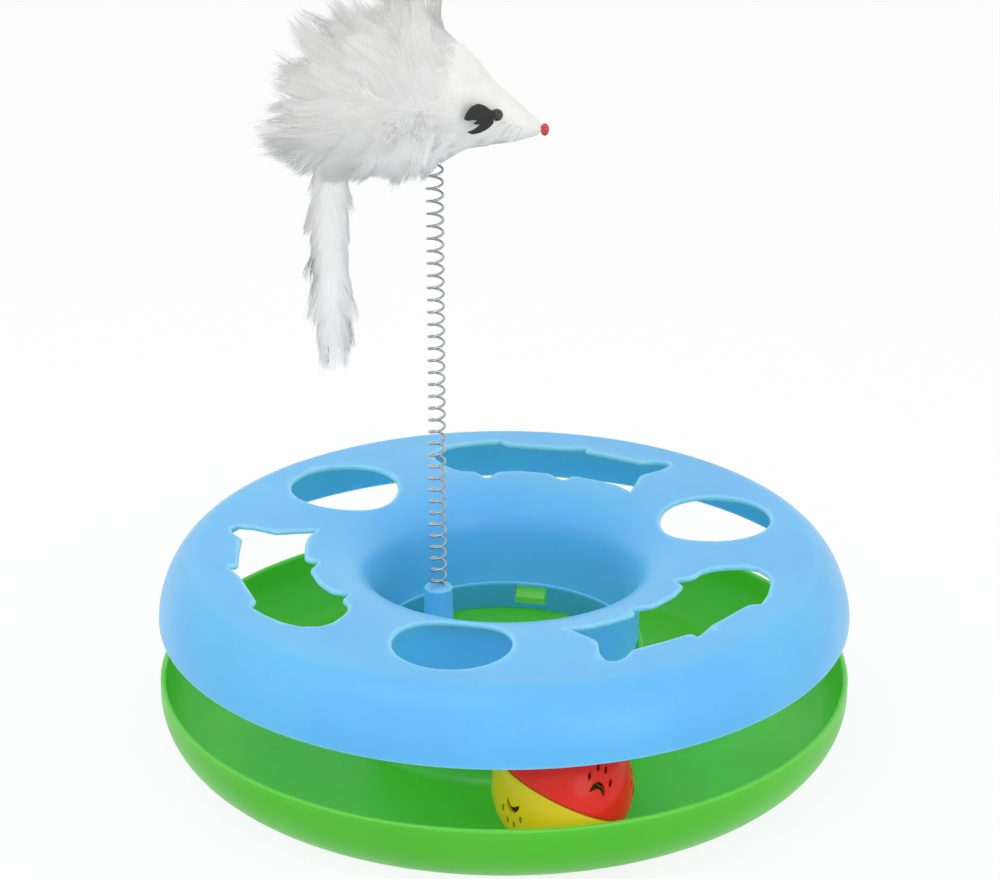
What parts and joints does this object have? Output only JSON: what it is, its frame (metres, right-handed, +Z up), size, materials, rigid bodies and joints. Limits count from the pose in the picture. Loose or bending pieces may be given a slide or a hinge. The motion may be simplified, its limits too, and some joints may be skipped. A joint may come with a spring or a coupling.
{
  "type": "cat ball track toy",
  "caption": "Round cat toy: a tray and cover form a ring track for a rolling bell ball, with paw cutouts above and a fluffy mouse on a coil spring in the middle.",
  "frame": {"origin": "middle of the tray's underside, on the surface that the toy stands on", "axes": "+Z up, along the ring's axis; +X the way the mouse's nose points; the picture looks along +Y"},
  "size_m": [0.25, 0.25, 0.2607],
  "materials": {
    "green_plastic": "moulded light green plastic, satin gloss",
    "blue_plastic": "moulded sky blue plastic, slightly translucent",
    "spring_steel": "drawn spring wire",
    "seat_plastic": "moulded plug",
    "white_fur": "long white plush over a light stuffed body",
    "black_felt": "thin black felt",
    "black_bead": "polished black bead",
    "red_bead": "red bead",
    "red_plastic": "glossy red plastic",
    "yellow_plastic": "glossy yellow plastic",
    "bell_brass": "thin pressed bell metal",
    "pellet_steel": "small steel pellet"
  },
  "bodies": {
    "base_body": {"base_tray": "green_plastic", "top_cover": "blue_plastic"},
    "spring_body": {"spring": "spring_steel"},
    "seat_body": {"spring_seat": "seat_plastic"},
    "mouse_group": {"mouse_body": "white_fur", "mouse_head": "white_fur", "mouse_nose": "red_bead", "ear_left": "black_felt", "ear_right": "black_felt", "eye_left": "black_bead", "eye_right": "black_bead"},
    "tail_body": {"mouse_tail": "white_fur"},
    "bell_body": {"bell_upper": "bell_brass", "bell_lower": "bell_brass", "bell_pellet": "pellet_steel"},
    "ball_body": {"ball_shell_red": "red_plastic", "ball_shell_yellow": "yellow_plastic"}
  },
  "joints": [
    {"name": "sway_fore_aft", "type": "hinge", "parent": "base_body", "child": "spring_body", "pos_m": [-0.0238, 0, 0.0903], "axis": [0, 1, 0], "range_deg": [-40, 40], "stiffness_Nm_per_rad": 0.2, "deforming": ["spring"]},
    {"name": "sway_sideways", "type": "hinge", "parent": "spring_body", "child": "seat_body", "pos_m": [-0.0238, 0, 0.1503], "axis": [1, 0, 0], "range_deg": [-40, 40], "stiffness_Nm_per_rad": 0.2, "deforming": ["spring"]},
    {"name": "mouse_twist", "type": "hinge", "parent": "seat_body", "child": "mouse_group", "pos_m": [-0.0238, 0, 0.2166], "axis": [0, 0, 1], "range_deg": [-90, 90], "stiffness_Nm_per_rad": 0.01},
    {"name": "tail_swing", "type": "hinge", "parent": "mouse_group", "child": "tail_body", "pos_m": [-0.06, 0, 0.2105], "axis": [0, 1, 0], "range_deg": [-45, 45]},
    {"name": "ball_orbit", "type": "hinge", "parent": "base_body", "child": "bell_body", "pos_m": [0, 0, 0.0262], "axis": [0, 0, 1], "continuous": true},
    {"name": "ball_roll", "type": "hinge", "parent": "bell_body", "child": "ball_body", "pos_m": [0.01944, -0.09554, 0.0262], "axis": [0.1994, -0.9799, 0], "continuous": true}
  ],
  "couplings": [
    {"joint": "ball_roll", "follows": "ball_orbit", "ratio": -4.0795}
  ]
}
